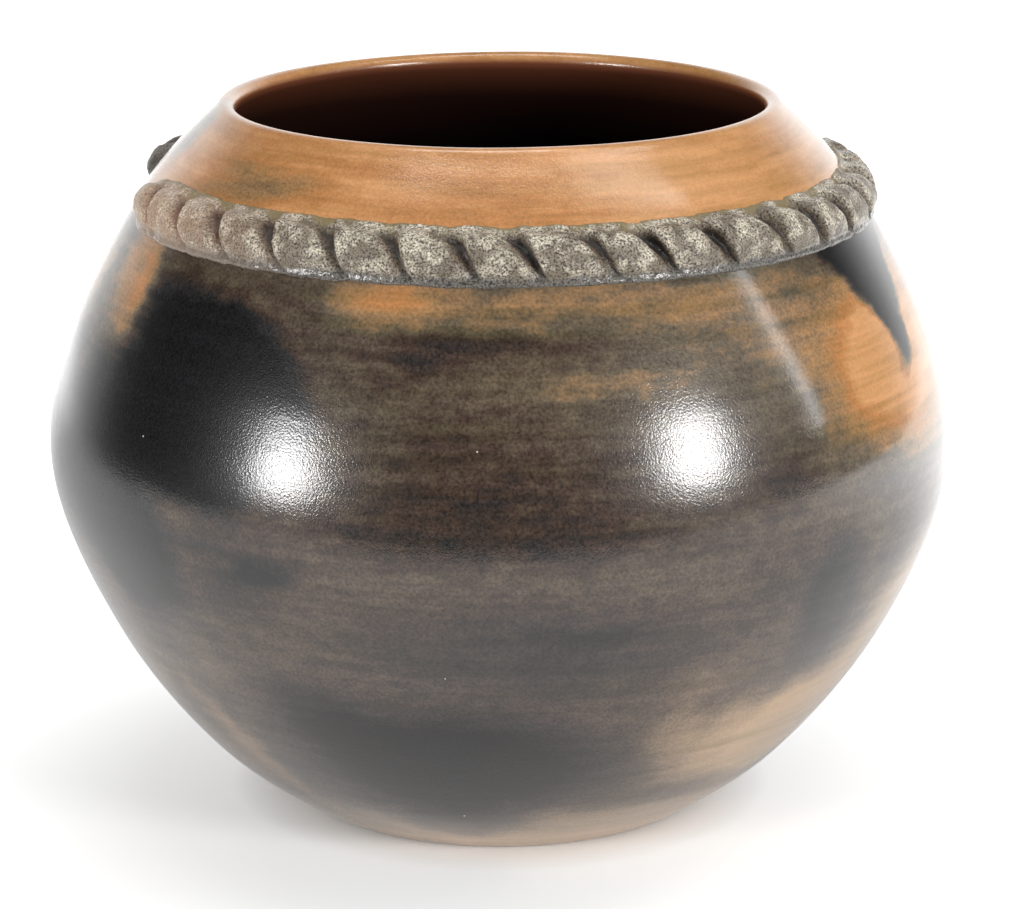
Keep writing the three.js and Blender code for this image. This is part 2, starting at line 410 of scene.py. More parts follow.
# The wall wanders in and out, up to once its wobble to either side of the outline
per_size = add_node(turned, "ShaderNodeMath", (1.0, given["Wobble Size"]), operation="DIVIDE")
noise = add_node(turned, "ShaderNodeTexNoise", {"Scale": per_size, "Detail": 1.0})
centred = add_node(turned, "ShaderNodeMath", (noise, 0.5), operation="SUBTRACT")
here = add_node(turned, "GeometryNodeInputPosition")
spot = add_node(turned, "ShaderNodeSeparateXYZ", (here,)).outputs
off_table = add_node(turned, "ShaderNodeMapRange", (spot["Z"], 0.0, WOBBLE_FULL))
swell = add_node(turned, "ShaderNodeMath", (centred, given["Wobble"]), operation="MULTIPLY")
swell = add_node(turned, "ShaderNodeMath", (swell, off_table), operation="MULTIPLY")
swell = add_node(turned, "ShaderNodeMath", (swell, 2.0), operation="MULTIPLY")
outward = add_node(turned, "GeometryNodeInputNormal")
wobble = add_node(turned, "ShaderNodeVectorMath", (outward, swell), operation="SCALE")

# The lip is higher on one side
lean = add_node(turned, "ShaderNodeMath", (spot["X"], given["Lip Tilt"]), operation="MULTIPLY")
near_lip = add_node(turned, "ShaderNodeMapRange", (spot["Z"], LIP_TILT_FROM, LIP_TILT_FULL))
lean = add_node(turned, "ShaderNodeMath", (lean, near_lip), operation="MULTIPLY")
raised = add_node(turned, "ShaderNodeCombineXYZ", {"Z": lean})
moved = add_node(turned, "ShaderNodeVectorMath", (wobble, raised), operation="ADD")
shaped = add_node(turned, "GeometryNodeSetPosition", {"Geometry": welded, "Offset": moved})

# The material needs to know the inside from the outside
past_lip = add_node(turned, "ShaderNodeMath", (
    section["Number"], given["Lip Top"]), operation="SUBTRACT")
past_lip = add_node(turned, "ShaderNodeMath", (past_lip, given["Inside Blend"]), operation="DIVIDE")
past_lip = add_node(turned, "ShaderNodeClamp", {"Value": past_lip})
shaped = add_node(turned, "GeometryNodeStoreNamedAttribute", {
    "Geometry": shaped, "Name": "inside", "Value": past_lip}, data_type="FLOAT", domain="POINT")
smooth = add_node(turned, "GeometryNodeSetShadeSmooth", {"Geometry": shaped})
real = add_node(turned, "GeometryNodeRealizeInstances", {"Geometry": smooth})
clad = add_node(turned, "GeometryNodeSetMaterial", {
    "Geometry": real, "Material": given["Material"]})
add_node(turned, "NodeGroupOutput", (clad,))

vessel = curve_object("vessel_section", half_section)
vessel = grow(vessel, turned, vessel_sizes, "burnished_vessel")

# Burnished earthenware: the same clay fires orange where the flame is clean, brown where it
# is not, and black where fuel smoulders against it. So one value, the smoke, from clean 0 to
# black 1, gives the colour, and each fire cloud adds to it or clears it. A cloud is an
# azimuth and height of its middle, its half-width and half-height in millimetres, the share
# of it that is a full core, the smoke that it adds, and for some a tilt in degrees.
BODY_SMOKE = 0.63
NECK_SMOKE = 0.07
NECK_FROM = 0.160
NECK_FULL = 0.166
FOOT_CLEARING = -0.30
FOOT_CLEAR_FROM = 0.008
FOOT_CLEAR_FULL = 0.004
CLOUD_DEPTH = 0.060
FIRE_CLOUDS = (
    # the black cloud at the upper left, with the tan strip beside it
    (-41, 123, 37, 27, 0.6, 0.60),
    (-48, 142, 23, 12, 0.3, 0.45),
    (-60, 106, 26, 34, 0.5, 0.50),
    (-51, 84, 22, 24, 0.4, 0.45),
    (-65, 148, 16, 22, 0.2, -0.38, -12),
    (-61, 131, 8, 42, 0.1, -0.20, -2),
    (-80, 143, 16, 20, 0.1, -0.30),
    (-78, 102, 38, 40, 0.3, 0.35),
    (-29, 87, 17, 6, 0.0, 0.36),
    (-34, 88, 26, 20, 0.2, 0.12),
    # the tan patches under the band and the brown belly
    (-16, 152, 22, 9, 0.1, -0.36),
    (12, 152, 90, 9, 0.1, -0.25),
    (-5, 144, 26, 3.5, 0.2, 0.16),
    (-10, 139, 12, 4, 0.2, 0.12),
    (12, 134, 50, 9, 0.1, -0.16),
    (-2, 106, 90, 18, 0.0, 0.12),
    # a painted dark reflection: a thin band of smoke along the line where the belly mirrors the
    # board's front edge
    (0, 98, 90, 5, 0.1, 0.10),
    (4, 70, 66, 20, 0.1, 0.19),
    (12, 76, 22, 6, 0.1, 0.12),
    (28, 58, 22, 10, 0.1, -0.20),
    # the black wedge and the tan patch round it at the right
    (66, 156, 25, 9, 0.6, 1.0),
    (65.5, 149, 16, 9, 0.3, 0.6),
    (65, 141, 8, 9, 0.4, 0.9),
    (62.8, 141, 7, 24, 0.2, 1.0, -38),
    (69, 140, 7, 24, 0.3, 1.0, 30),
    (67, 131, 43, 39, 0.1, -0.82),
    (48, 131, 38, 31, 0.0, -0.36),
    (53, 120, 20, 14, 0.1, -0.16),
    (40, 124, 11, 14, 0.1, 0.14),
    (30, 144, 34, 14, 0.1, -0.14),
    (36, 107, 14, 12, 0.1, 0.12),
    (62, 101, 34, 5, 0.1, 0.12),
    (46, 73, 15, 21, 0.4, 0.30),
    (40, 84, 30, 12, 0.1, 0.08),
    # the pale clay at the lower right
    (43, 34, 34, 24, 0.4, -0.53),
    (26, 43, 12, 14, 0.2, -0.26),
    (58, 36, 37, 28, 0.2, -0.66),
    (70, 62, 34, 27, 0.1, -0.80),
    # the dark cloud over the foot, and the pale clay round it
    (-8, 34, 56, 27, 0.2, 0.52),
    (-26, 48, 24, 18, 0.0, 0.26),
    (-7, 13, 26, 8, 0.3, 0.50),
    (20, 8, 90, 14, 0.3, -0.42),
    (38, 20, 24, 9, 0.1, 0.25),
    (-62, 46, 24, 34, 0.0, -0.24),
    (-46, 32, 9, 38, 0.0, -0.34, -30),
    (-58, 22, 26, 18, 0.2, -0.25),
    (-44, 57, 12, 14, 0.0, -0.12, -30),
    # the smudges on the neck, after a clearing that is painted light: it makes the neck's right
    # side paler, where more light falls on it
    (36, 174, 64, 30, 0.0, -0.09),
    (4, 172, 46, 11, 0.0, 0.07),
    (-84, 177, 14, 14, 0.1, 0.50),
    (-44, 174, 30, 5.5, 0.0, 0.28),
    (-58, 170, 12, 4, 0.0, 0.10),
    # the back, which is a guess
    (120, 90, 40, 30, 0.2, 0.30),
    (165, 60, 46, 26, 0.3, 0.38),
    (208, 118, 62, 24, 0.0, -0.45, 9),
    (222, 136, 30, 12, 0.0, -0.30, -6),
    (148, 142, 34, 11, 0.0, -0.34, -4),
    (235, 86, 40, 28, 0.1, 0.30),
    (185, 148, 30, 8, 0.2, 0.25),
    (244, 44, 38, 16, 0.0, -0.32, 12),
    (134, 36, 46, 14, 0.0, -0.38, -8),
    (196, 22, 44, 10, 0.0, -0.28),
    (150, 176, 26, 6, 0.1, 0.20),
    (215, 172, 16, 6, 0.1, 0.35),
)
# Colours by smoke: orange to black above the belly, and greyer below it, where the pot stood
# in its ashes. Inside they go by the depth below the lip, from the clay's own reddish brown
# to a painted shade that darkens down into the mouth.
UPPER_CLAY = (
    (0, "#E3A771"), (0.12, "#C88A54"), (0.28, "#AE855A"), (0.5, "#6B5F4E"), (0.7, "#4A3A32"),
    (0.85, "#2E2C2C"), (1, "#1A191B"))
LOWER_CLAY = (
    (0, "#C4A27E"), (0.25, "#998068"), (0.5, "#685749"), (0.7, "#453934"), (0.85, "#2D2725"),
    (1, "#130E0D"))
INNER_CLAY_AND_SHADE = ((0, "#A0603A"), (0.1, "#7A4630"), (0.45, "#38201A"), (1, "#120A08"))
LOWER_TOP = 0.070
UPPER_FROM = 0.100
INNER_TOP = 0.1845
INNER_DARK = 0.1545
# Nearly all values of a noise lie between the low and the high one
NOISE_LOW = 0.25
NOISE_MIDDLE = (0.5, 0.5, 0.5)
NOISE_HIGH = 0.75
# The clouds' edges wander within 10 mm, and within 4 mm more along the burnishing strokes,
# which the stone left 40 mm long and 2.6 mm wide
DRIFT_SIZE = 0.022
DRIFT_REACH = (0.010, 0.010, 0.010)
STROKE_SIZE = (0.040, 0.040, 0.0026)
STROKE_REACH = (0.004, 0.004, 0.001)
STROKE_SMOKE = 0.07
# Blotches of smoke 6 mm long, faint on clean clay, and calmer on the lower wall
BLOTCH_SIZE = (0.006, 0.006, 0.003)
BLOTCH_SMOKE = 0.11
BLOTCH_CLEAN = 0.35
BLOTCH_FULL_SMOKE = 0.5
CALM_LEVEL = 0.65
CALM_BELOW = 0.05
CALM_ABOVE = 0.10
# Thin streaks of ash, 3 mm wide, that tint the clay a greyish green
ASH_SIZE = (0.060, 0.060, 0.0030)
ASH = "#D4D6BC"
ASH_FROM = 0.42
ASH_FULL = 0.68
ASH_SHARE = 0.75
# The clay's own grains are a few tenths of a millimetre, drawn coarser so that they show
MOTTLE_SIZE = 0.0008
MOTTLE_FROM = 0.3
MOTTLE_TO = 0.65
MOTTLE_DARKER = -1.0
MOTTLE_PALER = 0.7
MOTTLE_CLEAN = 0.11
MOTTLE_BLACK = 0.80
# The coat of pitch: gloss with an orange-peel grain, too fine to show at its real 0.2 mm and
# drawn at 0.5 mm. It is smoother at the right side and on the neck, and thin inside.
GRAIN_SIZE = 0.0005
GRAIN_DEPTH = 0.000055
POLISHED_WAY = (1.0, 0, 0.57)
POLISHED_FROM = 0.134
POLISHED_FULL = 0.146
POLISHED_GRAIN = 0.25
NECK_GRAIN = 0.3
CLAY_ROUGHNESS = 0.32
COAT_ROUGHNESS = 0.06
INSIDE_COAT = 0.25
REFRACTION = 1.5
# The burnishing stone's facets, 10 mm long
FACET_SIZE = (0.010, 0.010, 0.003)
FACET_DEPTH = 0.00003
# Pale specks of dust about 13 mm apart, whose size is a share of that distance
DUST_SPACING = 0.013
DUST_SIZE = 0.018
DUST = "#DEDBD4"

tree = burnished.node_tree
tree.nodes.clear()
where = add_node(tree, "ShaderNodeTexCoord").outputs["Object"]
height = add_node(tree, "ShaderNodeSeparateXYZ", (where,)).outputs["Z"]

# Where the clouds are looked up: the place, shoved by a drift and by the strokes
drift = add_node(tree, "ShaderNodeTexNoise", {
    "Vector": where, "Scale": 1 / DRIFT_SIZE, "Detail": 2.0})
drift = add_node(tree, "ShaderNodeVectorMath", (
    drift.outputs["Color"], NOISE_MIDDLE), operation="SUBTRACT")
drift = add_node(tree, "ShaderNodeVectorMath", (
    drift, DRIFT_REACH, where), operation="MULTIPLY_ADD")
strokes = add_node(tree, "ShaderNodeVectorMath", (where, STROKE_SIZE), operation="DIVIDE")
strokes = add_node(tree, "ShaderNodeTexNoise", {"Vector": strokes, "Scale": 1.0, "Detail": 3.0})
shove = add_node(tree, "ShaderNodeVectorMath", (
    strokes.outputs["Color"], NOISE_MIDDLE), operation="SUBTRACT")
drift = add_node(tree, "ShaderNodeVectorMath", (
    shove, STROKE_REACH, drift), operation="MULTIPLY_ADD")

# The smoke of the body and the neck, the cleared edge of the foot, and the clouds
smoke = add_node(tree, "ShaderNodeMapRange", (height, NECK_FROM, NECK_FULL, BODY_SMOKE, NECK_SMOKE))
foot = add_node(tree, "ShaderNodeMapRange", (
    height, FOOT_CLEAR_FROM, FOOT_CLEAR_FULL, 0.0, FOOT_CLEARING))
smoke = add_node(tree, "ShaderNodeMath", (smoke, foot), operation="ADD")
for azimuth, rise, half_width, half_height, core, amount, *tilt in FIRE_CLOUDS:
    turn = math.radians(azimuth)
    radius = min(outer_wall, key=lambda p: abs(p.y - rise / 1000)).x
    cloud = add_node(tree, "ShaderNodeMapping", {
        "Vector": drift,
        "Location": (radius * math.sin(turn), -radius * math.cos(turn), rise / 1000),
        "Rotation": (0, math.radians(*tilt or [0]), turn),
        "Scale": (half_width / 1000, max(CLOUD_DEPTH, half_width / 1000), half_height / 1000)},
        vector_type="TEXTURE")
    cloud = add_node(tree, "ShaderNodeVectorMath", (cloud,), operation="LENGTH")
    cloud = add_node(tree, "ShaderNodeMapRange", (
        cloud, 1.0, core, 0.0, amount), interpolation_type="SMOOTHSTEP")
    smoke = add_node(tree, "ShaderNodeMath", (smoke, cloud), operation="ADD")

# Its strokes and blotches
strokes = add_node(tree, "ShaderNodeMapRange", (
    strokes, NOISE_LOW, NOISE_HIGH, -STROKE_SMOKE, STROKE_SMOKE))
blotch = add_node(tree, "ShaderNodeVectorMath", (where, BLOTCH_SIZE), operation="DIVIDE")
blotch = add_node(tree, "ShaderNodeTexNoise", {
    "Vector": blotch, "Scale": 1.0, "Detail": 4.0, "Roughness": 0.6})
blotch = add_node(tree, "ShaderNodeMapRange", (
    blotch, NOISE_LOW, NOISE_HIGH, -BLOTCH_SMOKE, BLOTCH_SMOKE))
smoky = add_node(tree, "ShaderNodeMapRange", (smoke, 0.0, BLOTCH_FULL_SMOKE, BLOTCH_CLEAN, 1.0))
calm = add_node(tree, "ShaderNodeMapRange", (height, CALM_BELOW, CALM_ABOVE, CALM_LEVEL, 1.0))
blotch = add_node(tree, "ShaderNodeMath", (blotch, smoky, strokes), operation="MULTIPLY_ADD")
smoke = add_node(tree, "ShaderNodeMath", (blotch, calm, smoke), operation="MULTIPLY_ADD")

# The clay's colour, with ash, grains and dust
upper = add_node(tree, "ShaderNodeValToRGB", {"Fac": smoke}, stops=UPPER_CLAY)
lower = add_node(tree, "ShaderNodeValToRGB", {"Fac": smoke}, stops=LOWER_CLAY)
level = add_node(tree, "ShaderNodeMapRange", (height, LOWER_TOP, UPPER_FROM))
clay = add_node(tree, "ShaderNodeMix", (level, lower, upper), data_type="RGBA")
ash = add_node(tree, "ShaderNodeVectorMath", (where, ASH_SIZE), operation="DIVIDE")
ash = add_node(tree, "ShaderNodeTexNoise", {
    "Vector": ash, "Scale": 1.0, "Detail": 4.0, "Roughness": 0.6})
ash = add_node(tree, "ShaderNodeMapRange", (ash, ASH_FROM, ASH_FULL, 0.0, ASH_SHARE))
clay = add_node(tree, "ShaderNodeMix", (
    ash, clay, colour(ASH)), data_type="RGBA", blend_type="MULTIPLY")
mottle = add_node(tree, "ShaderNodeTexNoise", {
    "Vector": where, "Scale": 1 / MOTTLE_SIZE, "Detail": 3.0, "Roughness": 0.65})
mottle = add_node(tree, "ShaderNodeMapRange", (
    mottle, MOTTLE_FROM, MOTTLE_TO, MOTTLE_DARKER, MOTTLE_PALER))
uneven = add_node(tree, "ShaderNodeMapRange", (smoke, 0.0, 1.0, MOTTLE_CLEAN, MOTTLE_BLACK))
mottle = add_node(tree, "ShaderNodeMath", (mottle, uneven, 1.0), operation="MULTIPLY_ADD")
clay = add_node(tree, "ShaderNodeVectorMath", (clay, mottle), operation="SCALE")
dust = add_node(tree, "ShaderNodeTexVoronoi", {"Vector": where, "Scale": 1 / DUST_SPACING})
dust = add_node(tree, "ShaderNodeMath", (dust, DUST_SIZE), operation="LESS_THAN")
clay = add_node(tree, "ShaderNodeMix", (dust, clay, colour(DUST)), data_type="RGBA")

# The inside: its clay darkens with depth below the lip as painted shade, and it has little pitch
inside = add_node(tree, "ShaderNodeAttribute", attribute_name="inside").outputs["Fac"]
below_lip = add_node(tree, "ShaderNodeMapRange", (height, INNER_TOP, INNER_DARK))
inner = add_node(tree, "ShaderNodeValToRGB", {"Fac": below_lip}, stops=INNER_CLAY_AND_SHADE)
clay = add_node(tree, "ShaderNodeMix", (inside, clay, inner), data_type="RGBA")
coat = add_node(tree, "ShaderNodeMapRange", (inside, 0.0, 1.0, 1.0, INSIDE_COAT))

# The stone's facets, with the pitch's grain on them
facets = add_node(tree, "ShaderNodeVectorMath", (where, FACET_SIZE), operation="DIVIDE")
facets = add_node(tree, "ShaderNodeTexNoise", {"Vector": facets, "Scale": 1.0, "Detail": 1.0})
facets = add_node(tree, "ShaderNodeBump", {
    "Height": facets, "Strength": 1.0, "Distance": FACET_DEPTH})
grain = add_node(tree, "ShaderNodeTexNoise", {
    "Vector": where, "Scale": 1 / GRAIN_SIZE, "Detail": 2.0})
polish = add_node(tree, "ShaderNodeVectorMath", (where, POLISHED_WAY), operation="DOT_PRODUCT")
polish = add_node(tree, "ShaderNodeMapRange", (
    polish, POLISHED_FROM, POLISHED_FULL, 1.0, POLISHED_GRAIN))
neck = add_node(tree, "ShaderNodeMapRange", (height, NECK_FROM, NECK_FULL))
neck = add_node(tree, "ShaderNodeMath", (neck, NECK_GRAIN), operation="MULTIPLY")
polish = add_node(tree, "ShaderNodeMath", (polish, neck), operation="MAXIMUM")
grain = add_node(tree, "ShaderNodeBump", {
    "Height": grain, "Strength": polish, "Distance": GRAIN_DEPTH, "Normal": facets})
skin = add_node(tree, "ShaderNodeBsdfPrincipled", {
    "Base Color": clay, "Roughness": CLAY_ROUGHNESS, "IOR": REFRACTION, "Normal": grain,
    "Coat Weight": coat, "Coat Roughness": COAT_ROUGHNESS, "Coat IOR": REFRACTION,
    "Coat Normal": grain})
add_node(tree, "ShaderNodeOutputMaterial", {"Surface": skin})

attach(vessel, "root")
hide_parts(*VESSEL_NODES)


# The roped band: a roll of the same clay, twisted into lobes, laid round the neck on a
# thin luting flange and left open at one side. It isn't burnished, so its grit shows on
# the crests, while brown pitch fills the grooves.
BAND_BELOW_LIP = 0.0283
BAND_START = math.radians(-80)
BAND_SWEEP = math.radians(338.5)
BAND_FIRST_END = 0.022
BAND_LAST_END = 0.007
SEAT_DEPTH = 0.0003
# Each point is its distance up the wall from the band's middle and its distance off the wall
BAND_SECTION = (
    (0.0083, -0.0007),
    (0.0081, 0.0000),
    (0.0070, 0.0006),
    (0.0059, 0.0015),
    (0.0050, 0.0029),
    (0.0035, 0.0041),
    (0.0013, 0.0047),
    (-0.0013, 0.0046),
    (-0.0034, 0.0038),
    (-0.0050, 0.0024),
    (-0.0058, 0.0012),
    (-0.0066, 0.0008),
    (-0.0073, 0.0004),
    (-0.0075, -0.0007),
)
SECTION_STEPS = 4
BAND_STEPS = 1400
# A groove leans by a share of a lobe from the top of the crown to its lower edge, is moved
# by chance, and shrinks the section by a share that chance and the crown's curve lessen
LOBE_PITCH = math.radians(10.05)
FIRST_GROOVE = math.radians(2.3)
LOBE_LEAN = 0.55
LEAN_POWER = 1.3
LOBE_SHIFT = 0.16
GROOVE_SHARE = 0.58
SHALLOWEST = 0.75
DEPTH_CHANCE = 0.4
GROOVE_ACROSS = (
    (0.0, 0.0), (0.08, 0.15), (0.24, 0.9), (0.45, 1.0), (0.65, 0.85), (0.82, 0.45), (0.90, 0.1),
    (1.0, 0.0))
# A groove's long slope, wide at the top and narrow at the bottom, and its steep wall, in lobes
PIT_TOP = 0.55
PIT_BOTTOM = 0.16
PIT_TOP_AT = 0.15
PIT_BOTTOM_AT = 0.85
SLOPE_END = -0.03
PIT_WALL = 0.07
# The end's rounding is a hair over a full circle, so that its last section keeps a size
END_CIRCLE = 1.001
GRIT = 0.00022
GRIT_SIZE = 0.0011
LUMPS = 0.0006
LUMP_SIZE = 0.007


def band_section(outer):
    """The band's closed section, from its top junction round the crown and back inside the
    wall, and the point on the wall that it shrinks to in the grooves and at the ends."""
    below = 0
    i = len(outer) - 1
    while below < BAND_BELOW_LIP:
        below += (outer[i] - outer[i - 1]).length
        i -= 1
    up = (outer[i + 1] - outer[i - 1]).normalized()
    out = Vector((up.y, -up.x))
    points = [outer[i] + up * along + out * proud for along, proud in BAND_SECTION]
    return smooth_line(points, SECTION_STEPS), outer[i] - out * SEAT_DEPTH


gritty = bpy.data.materials.new("gritty_roped_clay")
gritty.use_nodes = True

crown, seat = band_section(outer_wall)
band_sizes = {
    "Steps Along": BAND_STEPS, "Start": BAND_START, "Sweep": BAND_SWEEP,
    "First End": BAND_FIRST_END / seat.x, "Last End": BAND_LAST_END / seat.x,
    "Crown Points": len(crown), "Lobe Pitch": LOBE_PITCH, "First Groove": FIRST_GROOVE,
    "Lobe Lean": LOBE_LEAN, "Lobe Shift": LOBE_SHIFT, "Groove Share": GROOVE_SHARE,
    "Grit": GRIT, "Grit Size": GRIT_SIZE, "Lumps": LUMPS, "Lump Size": LUMP_SIZE,
    "Material": gritty,
}
roped = bpy.data.node_groups.new("roped_band", "GeometryNodeTree")
given = add_inputs(roped, band_sizes)

place = add_node(roped, "GeometryNodeInputPosition")
number = add_node(roped, "GeometryNodeInputIndex")
section = add_node(roped, "GeometryNodeCaptureAttribute", {
    "Geometry": given["Geometry"], "Section": place, "Number": number},
    items=(("VECTOR", "Section"), ("FLOAT", "Number"))).outputs
line = add_node(roped, "GeometryNodeCurvePrimitiveLine")
line = add_node(roped, "GeometryNodeResampleCurve", {"Curve": line, "Count": given["Steps Along"]})
share = add_node(roped, "GeometryNodeSplineParameter").outputs["Factor"]
line = add_node(roped, "GeometryNodeCaptureAttribute", {
    "Geometry": line, "Along": share}, items=(("FLOAT", "Along"),)).outputs
swept = add_node(roped, "GeometryNodeCurveToMesh", {
    "Curve": line["Geometry"], "Profile Curve": section["Geometry"], "Fill Caps": True})
along = line["Along"]
azimuth = add_node(roped, "ShaderNodeMath", (
    along, given["Sweep"], given["Start"]), operation="MULTIPLY_ADD")

# How far down the crown, 0 at its top junction and 1 at its lower edge
last_point = add_node(roped, "ShaderNodeMath", (given["Crown Points"], 1.0), operation="SUBTRACT")
across = add_node(roped, "ShaderNodeMath", (section["Number"], last_point), operation="DIVIDE")

# How far from the nearest groove's line, in lobes; to its left is the slope, to its right the wall
lean = add_node(roped, "ShaderNodeMath", (across, LEAN_POWER), operation="POWER")
lean = add_node(roped, "ShaderNodeMath", (lean, given["Lobe Lean"]), operation="MULTIPLY")
lobe = add_node(roped, "ShaderNodeMath", (azimuth, given["First Groove"]), operation="SUBTRACT")
lobe = add_node(roped, "ShaderNodeMath", (lobe, given["Lobe Pitch"]), operation="DIVIDE")
lobe = add_node(roped, "ShaderNodeMath", (lobe, lean), operation="SUBTRACT")
groove = add_node(roped, "ShaderNodeMath", (lobe, 0.5), operation="ADD")
groove = add_node(roped, "ShaderNodeMath", (groove,), operation="FLOOR")
chance = add_node(roped, "ShaderNodeTexWhiteNoise", {"W": groove}, noise_dimensions="1D")
shift = add_node(roped, "ShaderNodeMath", (chance, 0.5), operation="SUBTRACT")
shift = add_node(roped, "ShaderNodeMath", (shift, given["Lobe Shift"]), operation="MULTIPLY")
side = add_node(roped, "ShaderNodeMath", (lobe, groove), operation="SUBTRACT")
side = add_node(roped, "ShaderNodeMath", (side, shift), operation="ADD")

# How deep the groove is there, and how far the section shrinks
slope_starts = add_node(roped, "ShaderNodeMapRange", (
    across, PIT_TOP_AT, PIT_BOTTOM_AT, -PIT_TOP, -PIT_BOTTOM), interpolation_type="SMOOTHSTEP")
slope = add_node(roped, "ShaderNodeMapRange", (
    side, slope_starts, SLOPE_END), interpolation_type="SMOOTHSTEP")
wall = add_node(roped, "ShaderNodeMapRange", (
    side, 0.0, PIT_WALL, 1.0, 0.0), interpolation_type="SMOOTHSTEP")
fade = add_node(roped, "ShaderNodeFloatCurve", {"Value": across}, points=GROOVE_ACROSS)
depth = add_node(roped, "ShaderNodeMath", (slope, wall), operation="MULTIPLY")
depth = add_node(roped, "ShaderNodeMath", (depth, fade), operation="MULTIPLY")
own_depth = add_node(roped, "ShaderNodeMath", (
    chance, DEPTH_CHANCE, SHALLOWEST), operation="MULTIPLY_ADD")
depth = add_node(roped, "ShaderNodeMath", (depth, own_depth), operation="MULTIPLY")
shrunk = add_node(roped, "ShaderNodeMath", (depth, given["Groove Share"]), operation="MULTIPLY")
shrunk = add_node(roped, "ShaderNodeMath", (1.0, shrunk), operation="SUBTRACT")

# The ends are rounded over
from_first = add_node(roped, "ShaderNodeMath", (along, given["Sweep"]), operation="MULTIPLY")
from_first = add_node(roped, "ShaderNodeMath", (from_first, given["First End"]), operation="DIVIDE")
from_last = add_node(roped, "ShaderNodeMath", (1.0, along), operation="SUBTRACT")
from_last = add_node(roped, "ShaderNodeMath", (from_last, given["Sweep"]), operation="MULTIPLY")
from_last = add_node(roped, "ShaderNodeMath", (from_last, given["Last End"]), operation="DIVIDE")
from_end = add_node(roped, "ShaderNodeMath", (from_first, from_last), operation="MINIMUM")
from_end = add_node(roped, "ShaderNodeMath", (from_end, 1.0), operation="MINIMUM")
from_end = add_node(roped, "ShaderNodeMath", (1.0, from_end), operation="SUBTRACT")
rounded = add_node(roped, "ShaderNodeMath", (from_end, from_end), operation="MULTIPLY")
rounded = add_node(roped, "ShaderNodeMath", (END_CIRCLE, rounded), operation="SUBTRACT")
rounded = add_node(roped, "ShaderNodeMath", (rounded,), operation="SQRT")
shrunk = add_node(roped, "ShaderNodeMath", (shrunk, rounded), operation="MULTIPLY")

# Each section is shrunk to its seat and turned into place
middle = (seat.x, 0, seat.y)
arm = add_node(roped, "ShaderNodeVectorMath", (section["Section"], middle), operation="SUBTRACT")
arm = add_node(roped, "ShaderNodeVectorMath", (arm, shrunk), operation="SCALE")
spot = add_node(roped, "ShaderNodeVectorMath", (arm, middle), operation="ADD")
turn = add_node(roped, "ShaderNodeMath", (azimuth, math.pi / 2), operation="SUBTRACT")
spot = add_node(roped, "ShaderNodeVectorRotate", {
    "Vector": spot, "Angle": turn}, rotation_type="Z_AXIS")
shaped = add_node(roped, "GeometryNodeSetPosition", {"Geometry": swept, "Position": spot})

# Lumps and grit
rough = []
for size, amount in (("Grit Size", "Grit"), ("Lump Size", "Lumps")):
    per_size = add_node(roped, "ShaderNodeMath", (1.0, given[size]), operation="DIVIDE")
    noise = add_node(roped, "ShaderNodeTexNoise", {"Scale": per_size, "Detail": 1.0})
    noise = add_node(roped, "ShaderNodeMath", (noise, 0.5), operation="SUBTRACT")
    rough.append(add_node(roped, "ShaderNodeMath", (noise, given[amount]), operation="MULTIPLY"))
rough = add_node(roped, "ShaderNodeMath", tuple(rough), operation="ADD")
rough = add_node(roped, "ShaderNodeMath", (rough, 2.0), operation="MULTIPLY")
outward = add_node(roped, "GeometryNodeInputNormal")
rough = add_node(roped, "ShaderNodeVectorMath", (outward, rough), operation="SCALE")
shaped = add_node(roped, "GeometryNodeSetPosition", {"Geometry": shaped, "Offset": rough})
for name, value in (("groove_depth", depth), ("across_band", across), ("along_band", along)):
    shaped = add_node(roped, "GeometryNodeStoreNamedAttribute", {
        "Geometry": shaped, "Name": name, "Value": value}, data_type="FLOAT", domain="POINT")
smooth = add_node(roped, "GeometryNodeSetShadeSmooth", {"Geometry": shaped})
real = add_node(roped, "GeometryNodeRealizeInstances", {"Geometry": smooth})
clad = add_node(roped, "GeometryNodeSetMaterial", {
    "Geometry": real, "Material": given["Material"]})
add_node(roped, "NodeGroupOutput", (clad,))
band = grow(curve_object("band_section", crown, closed=True), roped, band_sizes, "roped_clay_band")

# Unburnished earthenware under pitch: pale yellowish grit stands out of a greyish olive clay,
# with dark specks between its grains, and the pitch lies brown and glossy in the pits. The
# grit's real 0.2 to 0.4 mm is drawn at 0.5 mm, so that it shows.
SPECK_SIZE = 0.0005
PATCH_SIZE = 0.005
# The crests by the noise's level, each range from none to full
CREST_RANGE = (0.34, 0.60)
CREST_LOWER_EDGE = -0.10
WHITE_GRIT_RANGE = (0.46, 0.34)
DARK_SPECK_RANGE = (0.44, 0.66)
GREY_CLAY = "#8A7E6C"
PALE_CLAY = "#DCD1BC"
WHITE_GRIT = "#F8F0DE"
DARK_SPECK = "#332923"
# The pits by the groove's depth, with an edge that is broken by patches
PIT_RANGE = (0.08, 0.75)
PIT_PATCHES = 0.4
DEEP_RANGE = (0.45, 0.9)
THICK_RANGE = (0.35, 0.6)
THIN_PITCH = "#7C6647"
THICK_PITCH = "#3C2A20"
DEEP_PITCH = "#1C1412"
# The flange and the smear of clay over the top junction, by the place down the crown
EDGE_PATCHES = 0.3
FLANGE_RANGE = (0.68, 0.84)
FLANGE_PITCH_RANGE = (0.40, 0.65)
FLANGE_CLAY = "#7A756D"
FLANGE_PITCH = "#33302E"
TOP_SMEAR_RANGE = (0.16, 0.06)
TOP_SMEAR = "#8E7E58"
